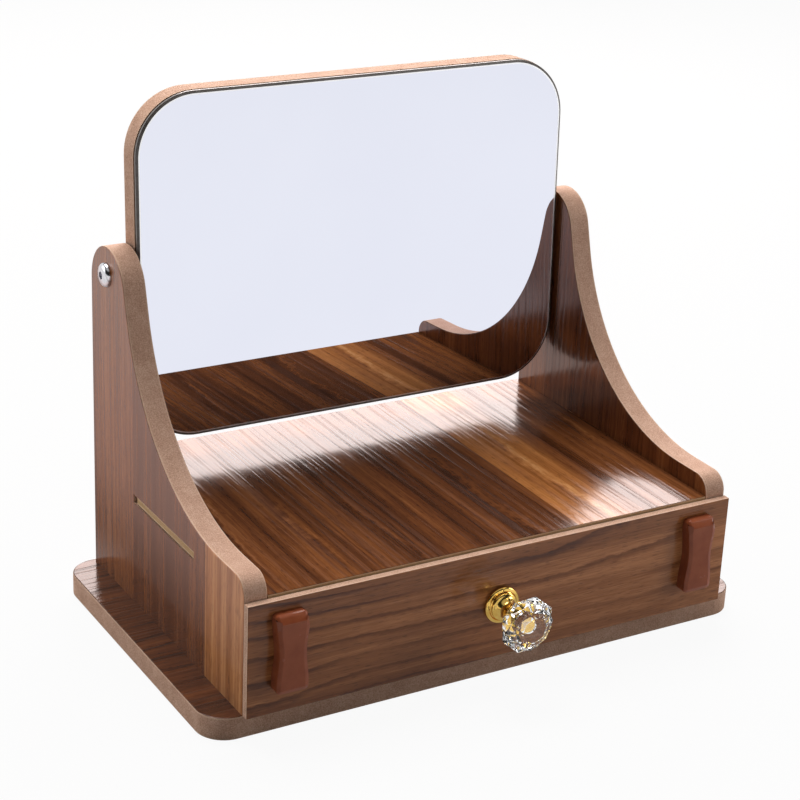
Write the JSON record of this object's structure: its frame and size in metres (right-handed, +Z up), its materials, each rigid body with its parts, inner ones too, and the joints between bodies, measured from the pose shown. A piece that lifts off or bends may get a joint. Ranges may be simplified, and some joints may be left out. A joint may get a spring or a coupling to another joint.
{
  "type": "vanity mirror with drawer",
  "caption": "Table-top tilting mirror between shaped wood-look side panels, over a shelf and a shallow drawer with a cut-glass knob, on a round-cornered base board.",
  "frame": {"origin": "centre of the base board's underside, the face that the object rests on", "axes": "+X to the right as seen from the front, -Y towards the front with the drawer's knob, +Z up"},
  "size_m": [0.309, 0.2126, 0.2681],
  "materials": {
    "walnut_laminate": "semi-gloss grained laminate, brown raw edges",
    "shelf_laminate": "glossy grained laminate",
    "box_wood": "smooth, unlacquered",
    "stained_block": "gloss lacquer, reddish brown",
    "mirror_glass": "silvered glass",
    "crystal": "clear cut glass, polished facets",
    "gilt": "polished gold colour",
    "bright_steel": "polished",
    "zinc_steel": "zinc plated",
    "brass": "turned brass",
    "nylon": "natural white nylon",
    "foam": "foam mounting tape",
    "beech": "turned dowel"
  },
  "bodies": {
    "carcass": {"base_board": "walnut_laminate", "side_panel_left": "walnut_laminate", "side_panel_right": "walnut_laminate", "shelf_panel": "shelf_laminate", "back_board": "walnut_laminate", "base_screws": "zinc_steel", "base_dowels": "beech"},
    "mirror": {"mirror_board": "walnut_laminate", "mirror_tape": "foam", "mirror_glass": "mirror_glass", "mirror_inserts": "brass", "pivot_washers": "nylon", "pivot_screw_left": "bright_steel", "pivot_screw_right": "bright_steel"},
    "drawer": {"drawer_front": "walnut_laminate", "drawer_inner_front": "box_wood", "drawer_side_left": "box_wood", "drawer_side_right": "box_wood", "drawer_back": "box_wood", "drawer_bottom": "box_wood", "drawer_screws": "zinc_steel", "drawer_trim_left": "stained_block", "drawer_trim_right": "stained_block", "knob_base": "gilt", "knob_crystal": "crystal", "knob_screw": "zinc_steel", "knob_washer": "zinc_steel"}
  },
  "joints": [
    {"name": "drawer_slide", "type": "slide", "parent": "carcass", "child": "drawer", "axis": [0, -1, 0], "range_m": [0, 0.12]},
    {"name": "mirror_tilt", "type": "hinge", "parent": "carcass", "child": "mirror", "pos_m": [0, 0.0682, 0.178], "axis": [1, 0, 0], "continuous": true}
  ]
}
